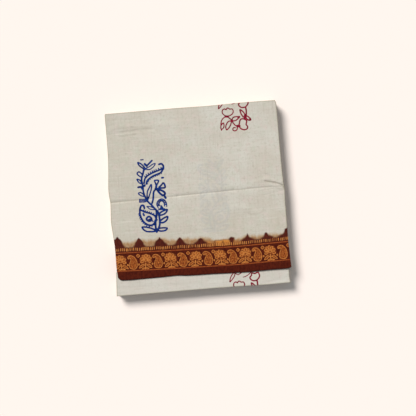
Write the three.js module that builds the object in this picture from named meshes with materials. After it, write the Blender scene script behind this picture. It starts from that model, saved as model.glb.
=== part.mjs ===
import * as THREE from 'three';

// A cotton saree, pressed and folded into a flat bundle.
// Millimetres. X runs along the saree's length, Y runs across it towards the far fold, and Z is up.
// The cloth is folded selvedge to selvedge, and in half again, into a panel of four plies. The panel is then
// folded to and fro along its length, twenty times. So ten deep folds show at each side, twenty-one thin ones
// at both ends, and the panel's inner fold shows as a strip beyond the border's selvedge.

// Heights, from the table up
const WALL = 1.2; // one panel, which stands for the outer ply and the three under it
const GAP = 0.3; // air between neighbours
const TOP = 25; // twenty-one panels, pressed
const STRIP_AT_TUCK = TOP - WALL - GAP; // the strip's height where it ends under the border
const STRIP_AT_FOLD = 21.7; // and at the near fold, where there are half as many plies

// Places across the saree
const FAR_FOLD = 147.6;
const NEAR_FOLD = -147.6;
const NEAR_FOLD_SLOPE = 0.0068; // it runs a little out of square
const SELVEDGE = -121.4; // edge of the border
const SELVEDGE_SLOPE = -0.0045;
const BORDER_TOP = -79; // upper line of the border
const BORDER_TOP_SLOPE = -0.007;
const TUCK_END = -110; // where the strip's ply ends, out of sight under the border
const UNDERSIDE_SET_BACK = 0.4; // the underside stops short of both folds

// Corners and edges
const LEFT_CORNER = 7; // corner radii of the border
const RIGHT_CORNER = 2.5;
const EDGE_DROP = 0.6; // the outer ply's edges round off by this much
const EDGE_RUN = 1.2; // over this distance, at the two folds
const BORDER_EDGE_DROP = 0.3;
const BORDER_LIFT = 0.9; // the border's right corner stands up a little
const LIFT_FROM = 70; // where it starts to rise
const LIFT_RUN = 70;

// The hidden layers
const FOLDS = 10; // folds that show in each side
const FOLD_DEPTH = 0.7; // how far each one bulges
const STACK_INSET = 1.4; // their valleys lie this far inside the outer ply's edge
const STACK_CORNER = 3;
const SIDES_CHANGE_FROM = 9; // below this height the lower side edges hold
const SIDES_CHANGE_TO = 16; // and above this one the upper

// Side edges of the upper layers, from the selvedge to the far fold
const UPPER_EDGES = [
  { y: -123, left: -136.6, right: 143.2 },
  { y: -80, left: -138.3, right: 141.3 },
  { y: -37, left: -140.8, right: 141.2 },
  { y: -6, left: -139.6, right: 141.3 },
  { y: 5, left: -138.1, right: 142.4 },
  { y: 12, left: -139.0, right: 141.0 },
  { y: 36, left: -141.0, right: 140.2 },
  { y: 68, left: -140.0, right: 139.4 },
  { y: 148, left: -137.2, right: 138.2 },
];

// Side edges of the strip and the lower layers, from the near fold to the far fold
const LOWER_EDGES = [
  { y: -149, left: -141.2, right: 140.4 },
  { y: -125, left: -140.0, right: 140.2 },
  { y: -37, left: -139.8, right: 139.6 },
  { y: 36, left: -140.2, right: 139.9 },
  { y: 148, left: -137.2, right: 138.2 },
];

// Creases pressed into the top. Each is a straight run, sunk by its depth, or raised if that is below nought.
const CREASES = [
  { fromX: -141, fromY: 4, toX: 60, toY: 6, width: 3.2, depth: 0.8 }, // the store crease
  { fromX: 60, fromY: 6, toX: 128, toY: 7, width: 3.2, depth: 0.5 }, // where it fades
  { fromX: 112, fromY: 16, toX: 142, toY: 5, width: 4.5, depth: -0.9 }, // the pinch at its end
  { fromX: -120, fromY: 126, toX: -10, toY: 122, width: 6, depth: -0.4 }, // an older crease by the far fold
  { fromX: 60, fromY: -18, toX: 100, toY: -33, width: 7, depth: -0.5 }, // a soft wrinkle
  { fromX: 112, fromY: 40, toX: 138, toY: 12, width: 6, depth: -0.5 }, // fans out above the pinch
];

// Where the solids have rows of points across the saree, and columns along its length
const TOP_ROWS = [-60, -37, -20, -6, 1, 5, 9, 14, 24, 36, 52, 68, 92, 112, 124, 136];
const BORDER_ROWS = [0, 0.12, 0.35, 0.65, 1]; // shares of the way from the selvedge to the border's top
const STRIP_ROWS = [-143, -135, -128, -122]; // between the near fold and the tuck's end
const UNDER_ROWS = [-125, -37, 36];
const EDGE_COLUMNS = [0, 0.8, 2.5, 7]; // distances in from each side edge
const MIDDLE_COLUMNS = 12; // equal spaces between those
const STACK_ROWS = 12; // spaces along each side of the hidden layers

const CLOTH = new THREE.MeshStandardMaterial({ color: 0xcdc7bb, roughness: 0.95, metalness: 0 });
const BORDER = new THREE.MeshStandardMaterial({ color: 0x6b2a16, roughness: 0.85, metalness: 0 });
const LAYERS = new THREE.MeshStandardMaterial({ color: 0xbfb8aa, roughness: 0.95, metalness: 0 });

// A side edge's place along X, at a place across the saree
function edgeAt(table, y, side) {
  const last = table.length - 1;
  const place = THREE.MathUtils.clamp(y, table[0].y, table[last].y);
  const next = Math.max(1, table.findIndex((edge) => edge.y >= place));
  const share = (place - table[next - 1].y) / (table[next].y - table[next - 1].y);
  return THREE.MathUtils.lerp(table[next - 1][side], table[next][side], share);
}

// Columns along X from one edge to the other, closer together at the rounded edges
function columnsBetween(left, right) {
  const lead = EDGE_COLUMNS.map((step) => left + step);
  const tail = EDGE_COLUMNS.map((step) => right - step).reverse();
  const middle = [];
  for (let i = 1; i < MIDDLE_COLUMNS; i += 1) {
    middle.push(THREE.MathUtils.lerp(lead[lead.length - 1], tail[0], i / MIDDLE_COLUMNS));
  }
  return [...lead, ...middle, ...tail];
}

// How far the creases sink the top at a point
function sunk(x, y) {
  const point = new THREE.Vector3(x, y, 0);
  let depth = 0;
  for (const crease of CREASES) {
    const run = new THREE.Line3(
      new THREE.Vector3(crease.fromX, crease.fromY, 0),
      new THREE.Vector3(crease.toX, crease.toY, 0),
    );
    const away = run.closestPointToPoint(point, true, new THREE.Vector3()).distanceTo(point);
    depth += crease.depth * Math.exp(-((away / crease.width) ** 2));
  }
  return depth;
}

function nearFoldAt(x) {
  return NEAR_FOLD + NEAR_FOLD_SLOPE * x;
}

// The strip's height, which falls slowly from under the border to the near fold
function stripHeight(y) {
  const share = THREE.MathUtils.clamp((TUCK_END - y) / (TUCK_END - NEAR_FOLD - EDGE_RUN), 0, 1);
  return THREE.MathUtils.lerp(STRIP_AT_TUCK, STRIP_AT_FOLD, share ** 1.6);
}

// A solid's mesh from its triangles' corners
function solidOf(places) {
  const geometry = new THREE.BufferGeometry();
  geometry.setAttribute('position', new THREE.Float32BufferAttribute(places, 3));
  geometry.computeVertexNormals();
  return geometry;
}

// A closed solid between two grids of points that have the same rows and columns.
// Seen from outside the first grid, its rows follow one another upwards and its columns run to the right.
function solidBetween(front, back) {
  const places = [];
  const face = (a, b, c, d) => places.push(...a, ...b, ...c, ...a, ...c, ...d);
  const lastRow = front.length - 1;
  const lastColumn = front[0].length - 1;
  for (let j = 0; j < lastRow; j += 1) {
    for (let i = 0; i < lastColumn; i += 1) {
      face(front[j][i], front[j][i + 1], front[j + 1][i + 1], front[j + 1][i]);
      face(back[j][i], back[j + 1][i], back[j + 1][i + 1], back[j][i + 1]);
    }
    face(front[j][0], front[j + 1][0], back[j + 1][0], back[j][0]);
    face(back[j][lastColumn], back[j + 1][lastColumn], front[j + 1][lastColumn], front[j][lastColumn]);
  }
  for (let i = 0; i < lastColumn; i += 1) {
    face(back[0][i], back[0][i + 1], front[0][i + 1], front[0][i]);
    face(front[lastRow][i], front[lastRow][i + 1], back[lastRow][i + 1], back[lastRow][i]);
  }
  return solidOf(places);
}

// A closed solid from rings of points that lie over one another, each anticlockwise from above
function solidFromRings(rings) {
  const places = [];
  const count = rings[0].length;
  const middleOf = (ring) => [0, 0, ring[0][2]];
  for (let i = 0; i < count; i += 1) {
    const next = (i + 1) % count;
    for (let k = 0; k < rings.length - 1; k += 1) {
      const [low, high] = [rings[k], rings[k + 1]];
      places.push(...low[i], ...low[next], ...high[next], ...low[i], ...high[next], ...high[i]);
    }
    const [first, last] = [rings[0], rings[rings.length - 1]];
    places.push(...middleOf(first), ...first[next], ...first[i]);
    places.push(...middleOf(last), ...last[i], ...last[next]);
  }
  return solidOf(places);
}

// One row of a ply's points. Its first and last points drop, which rounds the side edges.
function rowAcross(table, edgeY, placeAt, drop) {
  const columns = columnsBetween(edgeAt(table, edgeY, 'left'), edgeAt(table, edgeY, 'right'));
  return columns.map((x, i) => {
    const [y, z] = placeAt(x);
    const isEnd = i === 0 || i === columns.length - 1;
    return [x, y, isEnd ? z - drop : z];
  });
}

function borderTopAt(x) {
  return BORDER_TOP + BORDER_TOP_SLOPE * x;
}

// The border's edge, which turns up at its rounded corners
function selvedgeAt(x) {
  const rise = (inset, radius) => {
    const out = THREE.MathUtils.clamp(radius - inset, 0, radius);
    return radius - Math.sqrt(radius * radius - out * out);
  };
  const fromLeft = x - edgeAt(UPPER_EDGES, SELVEDGE, 'left');
  const fromRight = edgeAt(UPPER_EDGES, SELVEDGE, 'right') - x;
  return SELVEDGE + SELVEDGE_SLOPE * x + rise(fromLeft, LEFT_CORNER) + rise(fromRight, RIGHT_CORNER);
}

// The outer ply from the border to the far fold, flat beneath and creased above
function topStretch() {
  const surface = (heightAt, drop, foldDrop) => [
    rowAcross(UPPER_EDGES, BORDER_TOP, (x) => [borderTopAt(x) + GAP, heightAt(x, BORDER_TOP)], drop),
    ...TOP_ROWS.map((y) => rowAcross(UPPER_EDGES, y, (x) => [y, heightAt(x, y)], drop)),
    rowAcross(UPPER_EDGES, FAR_FOLD - EDGE_RUN, () => [FAR_FOLD - EDGE_RUN, heightAt(0, FAR_FOLD)], drop),
    rowAcross(UPPER_EDGES, FAR_FOLD, () => [FAR_FOLD, heightAt(0, FAR_FOLD) - foldDrop], 0),
  ];
  const creased = (x, y) => TOP - (y > BORDER_TOP && y < FAR_FOLD ? sunk(x, y) : 0);
  return solidBetween(surface(creased, EDGE_DROP, EDGE_DROP), surface(() => TOP - WALL, 0, 0));
}

// The border, from its free selvedge to the line where the plain cloth starts
function topBorder() {
  const surface = (height, drop) => BORDER_ROWS.map((share) => {
    const edgeY = THREE.MathUtils.lerp(SELVEDGE, BORDER_TOP, share);
    const selvedgeDrop = share === 0 ? drop : 0;
    const placeAt = (x) => {
      const lift = BORDER_LIFT * Math.max(0, (x - LIFT_FROM) / LIFT_RUN) ** 2 * (1 - share);
      return [
        THREE.MathUtils.lerp(selvedgeAt(x), borderTopAt(x), share),
        height + lift - selvedgeDrop,
      ];
    };
    return rowAcross(UPPER_EDGES, edgeY, placeAt, drop);
  });
  return solidBetween(surface(TOP, BORDER_EDGE_DROP), surface(TOP - WALL, 0));
}

// The strip of the panel's inner ply that shows below the border, out to the near fold
function underStretch() {
  const surface = (depth, drop) => [
    rowAcross(LOWER_EDGES, NEAR_FOLD, (x) => [nearFoldAt(x), STRIP_AT_FOLD - depth - drop], 0),
    rowAcross(LOWER_EDGES, NEAR_FOLD, (x) => [nearFoldAt(x) + EDGE_RUN, STRIP_AT_FOLD - depth], drop),
    ...STRIP_ROWS.map((y) => rowAcross(LOWER_EDGES, y, () => [y, stripHeight(y) - depth], drop)),
    rowAcross(LOWER_EDGES, TUCK_END, () => [TUCK_END, STRIP_AT_TUCK - depth], drop),
  ];
  return solidBetween(surface(0, EDGE_DROP), surface(WALL, 0));
}

// The flat underside
function bottomStretch() {
  const surface = (height) => [
    rowAcross(LOWER_EDGES, NEAR_FOLD, (x) => [nearFoldAt(x) + UNDERSIDE_SET_BACK, height], 0),
    ...UNDER_ROWS.map((y) => rowAcross(LOWER_EDGES, y, () => [y, height], 0)),
    rowAcross(LOWER_EDGES, FAR_FOLD, () => [FAR_FOLD - UNDERSIDE_SET_BACK, height], 0),
  ];
  return solidBetween(surface(WALL), surface(0));
}

// One ring of the hidden layers, at a height: its near side's place, and how far in all its sides lie
function stackRing(z, nearAt, inset) {
  const upper = THREE.MathUtils.smoothstep(z, SIDES_CHANGE_FROM, SIDES_CHANGE_TO);
  const sideAt = (y, side) => {
    const lower = edgeAt(LOWER_EDGES, y, side);
    return THREE.MathUtils.lerp(lower, edgeAt(UPPER_EDGES, y, side), upper);
  };
  const far = FAR_FOLD - inset;
  const ring = [];
  const shares = Array.from({ length: STACK_ROWS + 1 }, (_, i) => i / STACK_ROWS);
  const along = (side, sign, share) => {
    const near = nearAt(sideAt(NEAR_FOLD, side));
    const y = THREE.MathUtils.lerp(near + STACK_CORNER, far - STACK_CORNER, share);
    return [sideAt(y, side) + sign * inset, y, z];
  };
  const across = (yAt, edgeY, share) => {
    const left = sideAt(edgeY, 'left') + inset + STACK_CORNER;
    const right = sideAt(edgeY, 'right') - inset - STACK_CORNER;
    const x = THREE.MathUtils.lerp(left, right, share);
    return [x, yAt(x), z];
  };
  shares.forEach((share) => ring.push(across(nearAt, nearAt(0), share)));
  shares.forEach((share) => ring.push(along('right', -1, share)));
  shares.forEach((share) => ring.push(across(() => far, FAR_FOLD, 1 - share)));
  shares.forEach((share) => ring.push(along('left', 1, 1 - share)));
  return ring;
}

// All the hidden layers as one solid, lobed by their folds at all four sides. Its top steps down and slopes
// under the strip, as the plies with the selvedges end there.
function hiddenLayers() {
  const low = WALL + GAP;
  const high = TOP - WALL - GAP;
  const shoulder = STRIP_AT_FOLD - WALL - GAP;
  const ledge = STRIP_AT_TUCK - WALL - GAP;
  const levels = Array.from({ length: 2 * FOLDS + 1 }, (_, k) => low + ((high - low) * k) / (2 * FOLDS));
  const heights = [...levels, shoulder, ledge, ledge + GAP].sort((a, b) => a - b);
  const apart = heights.filter((z, k) => k === 0 || z - heights[k - 1] > GAP / 10);
  const rings = apart.map((z) => {
    const bulge = FOLD_DEPTH * Math.sin((Math.PI * FOLDS * (z - low)) / (high - low)) ** 2;
    const inset = STACK_INSET - bulge;
    const slope = THREE.MathUtils.clamp((z - shoulder) / (ledge - shoulder), 0, 1);
    const tucked = TUCK_END + (z > ledge ? GAP : 0);
    return stackRing(z, (x) => THREE.MathUtils.lerp(nearFoldAt(x) + inset, tucked, slope), inset);
  });
  return solidFromRings(rings);
}

function piece(name, geometry, material) {
  const mesh = new THREE.Mesh(geometry, material);
  mesh.name = name;
  return mesh;
}

const saree = new THREE.Group();
saree.add(piece('top_stretch', topStretch(), CLOTH));
saree.add(piece('top_border', topBorder(), BORDER));
saree.add(piece('under_stretch', underStretch(), CLOTH));
saree.add(piece('bottom_stretch', bottomStretch(), CLOTH));
saree.add(piece('hidden_layers', hiddenLayers(), LAYERS));

// The origin is the middle of the underside
const box = new THREE.Box3().setFromObject(saree);
const middle = box.getCenter(new THREE.Vector3());
saree.position.set(-middle.x, -middle.y, -box.min.z);

export default saree;
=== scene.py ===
import math

import bmesh
import bpy
import numpy as np
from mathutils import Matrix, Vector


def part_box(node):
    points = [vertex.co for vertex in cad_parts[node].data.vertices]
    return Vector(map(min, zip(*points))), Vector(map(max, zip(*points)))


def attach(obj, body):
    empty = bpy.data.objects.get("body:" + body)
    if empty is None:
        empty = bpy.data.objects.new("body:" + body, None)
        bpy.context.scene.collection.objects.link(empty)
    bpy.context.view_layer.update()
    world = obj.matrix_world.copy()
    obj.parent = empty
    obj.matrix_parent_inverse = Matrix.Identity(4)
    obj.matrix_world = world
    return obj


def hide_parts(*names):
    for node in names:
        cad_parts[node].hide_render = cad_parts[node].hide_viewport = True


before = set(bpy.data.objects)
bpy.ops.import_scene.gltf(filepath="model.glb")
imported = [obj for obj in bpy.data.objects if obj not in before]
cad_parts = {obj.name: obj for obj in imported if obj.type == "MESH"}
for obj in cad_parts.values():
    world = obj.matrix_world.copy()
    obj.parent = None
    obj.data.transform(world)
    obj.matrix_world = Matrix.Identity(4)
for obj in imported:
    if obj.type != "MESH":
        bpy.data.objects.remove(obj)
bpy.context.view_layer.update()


# The folded plies. The saree's own thin cotton is folded selvedge to selvedge, and in half again, into a
# panel of four plies, which is folded to and fro twenty times and pressed. So ten deep folds show at each
# side and twenty-one thin ones at both ends. The ones on the left carry the dyed border on their outside.
MM = 0.001
TOP = 25.0
PLIES = 1.2
GAP = 0.3
STRIP_AT_TUCK = TOP - PLIES - GAP
STRIP_AT_FOLD = 21.7
FAR_FOLD = 147.6
NEAR_FOLD = -147.6
NEAR_RUN = {"x": [-140, 0, 60, 108, 140], "out": [-0.95, 0.0, -0.1, -0.8, -0.1]}
FAR_RUN = {"x": [-140, -80, -30, 30, 60, 90, 138], "out": [0.0, 0.5, 1.0, 0.6, 1.3, 2.0, 1.7]}
SELVEDGE = -121.4
BORDER_REACH = 143.1
BORDER_TOP = -79.0
TUCK_END = -110.0
UPPER_SIDES = {
    "y": [-123, -105, -80, -66, -40, -27, -14, -1, 5, 12, 25, 38, 51, 77, 103, 148],
    "left": [-137.2, -138.7, -138.5, -138.7, -141.0, -141.9, -141.2, -140.5, -140.2, -141.7, -142.2, -141.2,
             -140.0, -138.6, -138.4, -138.8],
    "right": [144.2, 143.5, 142.4, 142.4, 142.4, 142.4, 142.4, 142.8, 143.2, 141.9, 141.5, 141.1,
              140.9, 140.4, 140.3, 139.8],
}
LOWER_SIDES = {
    "y": [-147, -139, -120, -80, -37, 3, 34, 60, 148],
    "left": [-142.0, -141.6, -140.4, -138.8, -139.8, -140.2, -140.4, -139.4, -138.8],
    "right": [141.4, 140.0, 140.2, 140.8, 140.6, 140.7, 140.6, 140.2, 139.6],
}
LOWER_SIDES_TO = 9.0
UPPER_SIDES_FROM = 16.0
HALF_LENGTH = 140.0
SIDE_FOLDS = 10
SIDE_FOLD_DEPTH = 1.5
END_FOLDS = 21
END_FOLD_DEPTH = 0.9
STEPS_A_FOLD = 6
STACK_DROP = 1.6
CORNER = 3.0
CORNER_STEPS = 7
STEPS_A_SIDE = 96
chance = np.random.default_rng(7)


def side_at(sides, y, side):
    """Where a stack's side lies along X, eased over a few millimetres."""
    y = np.asarray(y, float)
    steps = (-4.0, -2.0, 0.0, 2.0, 4.0)
    return sum(np.interp(y + step, sides["y"], sides[side]) for step in steps) / len(steps)


def wander(at, lengths, heights, phases):
    """A slow uneven wave along a fold."""
    return sum(h * np.sin(2 * math.pi * at / n + p) for n, h, p in zip(lengths, heights, phases))


def fold_run(run, x):
    """How far a fold lies out of square along X, as it was pressed."""
    return sum(np.interp(x + step, run["x"], run["out"]) for step in (-12.0, 0.0, 12.0)) / 3


SHIFT_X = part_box("top_border")[1].x / MM - BORDER_REACH
SHIFT_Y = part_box("top_stretch")[1].y / MM - FAR_FOLD


def new_grid(name, columns, rows):
    grid = bmesh.new()
    bmesh.ops.create_grid(grid, x_segments=columns - 1, y_segments=rows - 1, size=0.5)
    mesh = bpy.data.meshes.new(name)
    grid.to_mesh(mesh)
    grid.free()
    return mesh


def read_grid(mesh, columns, rows):
    """Which column and row each point of a new grid belongs to."""
    flat = np.empty(len(mesh.vertices) * 3)
    mesh.vertices.foreach_get("co", flat)
    flat = flat.reshape(-1, 3)
    column = np.rint((flat[:, 0] + 0.5) * (columns - 1)).astype(int)
    row = np.rint((flat[:, 1] + 0.5) * (rows - 1)).astype(int)
    return column, row


def put_points(mesh, x, y, z):
    """Moves a grid's points to their places, given in millimetres about the bundle's middle."""
    places = np.stack([x + SHIFT_X, y + SHIFT_Y, z], axis=1) * MM
    mesh.vertices.foreach_set("co", places.ravel())
    mesh.update()


def keep_number(mesh, name, values):
    """Keeps one number at each point of a mesh, for its material to read."""
    kept_there = mesh.attributes.new(name, "FLOAT", "POINT")
    kept_there.data.foreach_set("value", np.ascontiguousarray(values, float))


def show(mesh):
    piece = bpy.data.objects.new(mesh.name, mesh)
    bpy.context.scene.collection.objects.link(piece)
    mesh.polygons.foreach_set("use_smooth", [True] * len(mesh.polygons))
    return piece


def fold_bulge(height, folds):
    """How far a row of folds stands out at a share of the stack's height: rounded, with sharp valleys."""
    return np.abs(np.sin(math.pi * folds * height)) ** 0.55


def folds_drift(at, height, folds, phases):
    """How far each fold is set in from its neighbours, here and there along it."""
    fold = np.clip((height * folds).astype(int), 0, folds - 1)
    drift = wander(at, (151, 67, 23), (0.3, 0.2, 0.09), [phases[k][fold] for k in range(3)])
    return 0.35 + 0.75 * phases[3][fold] / (2 * math.pi) + drift


def stack_mesh():
    low, high = PLIES * 0.4, TOP - STACK_DROP
    shoulder, ledge = STRIP_AT_FOLD - 1.0, STRIP_AT_TUCK - 1.0
    count = END_FOLDS * STEPS_A_FOLD
    levels = [low + (high - low) * k / count for k in range(count + 1)]
    levels = sorted(levels + [ledge, ledge + 0.4])
    around = 4 * (STEPS_A_SIDE + CORNER_STEPS) + 1
    mesh = new_grid("folded_plies", around, len(levels))
    column, row = read_grid(mesh, around, len(levels))
    z = np.array(levels)[row]
    height = (z - low) / (high - low)
    slope = np.clip((z - shoulder) / (ledge - shoulder), 0, 1)
    # the ring's four sides and corners, as a point on a rounded square and the way out from it
    lap = np.where(column == around - 1, 0, column)
    square_x, square_y, out_x, out_y = [np.zeros(around) for _ in range(4)]
    line = 0
    for way in np.array([(0, -1), (1, 0), (0, 1), (-1, 0)]):
        run = np.array([-way[1], way[0]])
        for i in range(STEPS_A_SIDE):
            spot = way + run * (2 * i / (STEPS_A_SIDE - 1) - 1)
            square_x[line], square_y[line] = spot
            out_x[line], out_y[line] = way
            line += 1
        for i in range(CORNER_STEPS):
            angle = math.pi / 2 * (i + 1) / (CORNER_STEPS + 1)
            square_x[line], square_y[line] = way + run
            out_x[line], out_y[line] = way * math.cos(angle) + run * math.sin(angle)
            line += 1
    square_x, square_y, out_x, out_y = [part[lap] for part in (square_x, square_y, out_x, out_y)]
    tucked = np.where(z > ledge, TUCK_END + GAP, TUCK_END)
    near = (NEAR_FOLD + fold_run(NEAR_RUN, square_x * HALF_LENGTH)) * (1 - slope) + tucked * slope
    far = FAR_FOLD + fold_run(FAR_RUN, square_x * HALF_LENGTH)
    y = near + CORNER + (far - near - 2 * CORNER) * (square_y + 1) / 2
    upper = np.clip((z - LOWER_SIDES_TO) / (UPPER_SIDES_FROM - LOWER_SIDES_TO), 0, 1)
    upper = upper * upper * (3 - 2 * upper) * np.clip((y - SELVEDGE + 8) / 8, 0, 1)
    left = side_at(LOWER_SIDES, y, "left") * (1 - upper) + side_at(UPPER_SIDES, y, "left") * upper
    right = side_at(LOWER_SIDES, y, "right") * (1 - upper) + side_at(UPPER_SIDES, y, "right") * upper
    x = left + CORNER + (right - left - 2 * CORNER) * (square_x + 1) / 2
    phases = chance.uniform(0, 2 * math.pi, (4, 4, END_FOLDS))
    inset = np.zeros(len(x))
    for index, (way_x, way_y, folds) in enumerate(
        ((1, 0, SIDE_FOLDS), (-1, 0, SIDE_FOLDS), (0, 1, END_FOLDS), (0, -1, END_FOLDS))
    ):
        facing = np.clip(out_x * way_x + out_y * way_y, 0, 1) ** 2
        at = y if way_x else x
        depth = SIDE_FOLD_DEPTH if way_x else END_FOLD_DEPTH
        drift = folds_drift(at, height, folds, phases[index]) * (1.0 if way_x else 0.7)
        inset += facing * (drift + depth * (1 - fold_bulge(height, folds)))
    x, y = x + out_x * (CORNER - inset), y + out_y * (CORNER - inset)
    wave = 0.22 * np.sin(x / 37 + y / 29) + 0.12 * np.sin(x / 13 - y / 17 + 1.0)
    put_points(mesh, x, y, z + wave * np.sin(math.pi * height) ** 0.5)
    edge = np.abs(y - (SELVEDGE + BORDER_TOP) / 2) - (BORDER_TOP - SELVEDGE) / 2
    ragged = 0.6 * np.sin(z * 2.9) + 0.3 * np.sin(z * 7.1)
    keep_number(mesh, "dye", np.clip(0.5 - (edge + ragged) / 1.2, 0, 1) * (out_x < -0.5))
    body = bmesh.new()
    body.from_mesh(mesh)
    bmesh.ops.remove_doubles(body, verts=body.verts, dist=1e-7)
    bmesh.ops.holes_fill(body, edges=body.edges, sides=0)
    bmesh.ops.recalc_face_normals(body, faces=body.faces)
    body.to_mesh(mesh)
    body.free()
    return mesh


def colour(red, green, blue):
    """A colour as the eye reads it, 0 to 255, turned to what a shader takes."""
    parts = [value / 255 for value in (red, green, blue)]
    return [p / 12.92 if p <= 0.04045 else ((p + 0.055) / 1.055) ** 2.4 for p in parts] + [1.0]


def add_node(tree, kind, inputs=None, **settings):
    node = tree.nodes.new(kind)
    for name, value in settings.items():
        setattr(node, name, value)
    for socket, value in (inputs or {}).items():
        if isinstance(value, bpy.types.NodeSocket):
            tree.links.new(value, node.inputs[socket])
        else:
            node.inputs[socket].default_value = value
    return node


def sums(tree, operation, first, second=0.0):
    return add_node(tree, "ShaderNodeMath", {0: first, 1: second}, operation=operation).outputs[0]


def ease(tree, value, low, high):
    """Nought below low, one above high, and a soft rise between them."""
    inputs = {"Value": value, "From Min": low, "From Max": high}
    return add_node(tree, "ShaderNodeMapRange", inputs, interpolation_type="SMOOTHSTEP").outputs[0]


def over(tree, amount, below, above):
    """Lays one colour over another."""
    mix = add_node(tree, "ShaderNodeMix", {0: amount, 6: below, 7: above}, data_type="RGBA")
    return mix.outputs[2]


def speckle(tree, place, scale, detail=2.0, stretch=(1.0, 1.0, 1.0)):
    """Noise on the cloth, stretched along a thread direction if asked."""
    turned = add_node(tree, "ShaderNodeMapping", {"Vector": place, "Scale": stretch}).outputs[0]
    inputs = {"Vector": turned, "Scale": scale, "Detail": detail, "Roughness": 0.55}
    return add_node(tree, "ShaderNodeTexNoise", inputs, noise_dimensions="3D").outputs[0]


def kept(tree, name):
    """The number that a mesh keeps under a name."""
    return add_node(tree, "ShaderNodeAttribute", attribute_name=name).outputs["Fac"]


def new_finish(name):
    finish = bpy.data.materials.new(name)
    finish.use_nodes = True
    return finish, finish.node_tree


def folded_ply_finish():
    finish, tree = new_finish("folded_plies")
    surface = tree.nodes["Principled BSDF"]
    place = add_node(tree, "ShaderNodeTexCoord").outputs["Object"]
    mottle = speckle(tree, place, 60.0)
    pale = over(tree, mottle, colour(196, 188, 175), colour(212, 206, 193))
    fine = speckle(tree, place, 900.0, 3.0, (1.0, 0.15, 1.0))
    pale = over(tree, ease(tree, fine, 0.55, 0.8), pale, colour(172, 164, 150))
    dyed = over(tree, ease(tree, fine, 0.4, 0.75), colour(92, 38, 22), colour(140, 72, 36))
    tree.links.new(over(tree, kept(tree, "dye"), pale, dyed), surface.inputs["Base Color"])
    surface.inputs["Roughness"].default_value = 0.92
    surface.inputs["Sheen Weight"].default_value = 0.12
    bump = add_node(tree, "ShaderNodeBump", {"Height": fine, "Strength": 0.35, "Distance": 0.0002})
    tree.links.new(bump.outputs[0], surface.inputs["Normal"])
    return finish


ply_finish = folded_ply_finish()
folded_plies = show(stack_mesh())
folded_plies.data.materials.append(ply_finish)
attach(folded_plies, "root")
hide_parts("hidden_layers")


# The second selvedge. The ply under the border ends there too, with its own dyed and woven selvedge. It
# lies a little short of the border's edge, or a little past it, and fills the step down to the strip.
LEFT_CORNER = 7.0
RIGHT_CORNER = 2.5
EDGE_RUN = {"x": [-137, -115, -86, -57, -42, -26, 5, 60, 76, 92, 135, 143],
            "out": [2.4, 2.6, 2.0, 0.9, 0.8, 2.0, 2.7, 3.5, 3.6, 2.6, 2.0, 1.0]}
LEFT_END = float(side_at(UPPER_SIDES, SELVEDGE, "left"))
RIGHT_END = float(side_at(UPPER_SIDES, SELVEDGE, "right"))
SELVEDGE_SLOPE = -0.0045


def selvedge_at(x):
    """The border's edge, which turns up at its two rounded corners."""
    def rise(inset, radius):
        out = np.clip(radius - inset, 0, radius)
        return radius - np.sqrt(radius * radius - out * out)
    edge = SELVEDGE + SELVEDGE_SLOPE * x - np.interp(x, EDGE_RUN["x"], EDGE_RUN["out"])
    return edge + rise(x - LEFT_END, LEFT_CORNER) + rise(RIGHT_END - x, RIGHT_CORNER)


def second_selvedge_mesh():
    xs = np.linspace(LEFT_END + 1.6, RIGHT_END - 2.2, 240)
    turn = np.linspace(math.pi, 0, 9)
    set_in = np.concatenate([[9.0, 3.0], np.zeros(9), [1.0, 3.0, 9.0]])
    turned = np.concatenate([[math.pi, math.pi], turn, np.zeros(3)])
    mesh = new_grid("second_selvedge", len(xs), len(turned))
    column, row = read_grid(mesh, len(xs), len(turned))
    x = xs[column]
    thick = 0.32
    uneven = wander(x, (210, 87, 33), (0.35, 0.2, 0.08), (0.4, 2.2, 5.0))
    y = selvedge_at(x) + 0.75 + uneven - thick * np.sin(turned[row]) + set_in[row]
    high = TOP - 0.62 + 0.06 * np.sin(x / 11) - 0.02 * set_in[row]
    put_points(mesh, x, y, high - thick * (1 - np.cos(turned[row])))
    keep_number(mesh, "dye", np.ones(len(x)))
    return mesh


second_selvedge = show(second_selvedge_mesh())
second_selvedge.data.materials.append(ply_finish)
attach(second_selvedge, "root")
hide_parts("hidden_layers")


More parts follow.
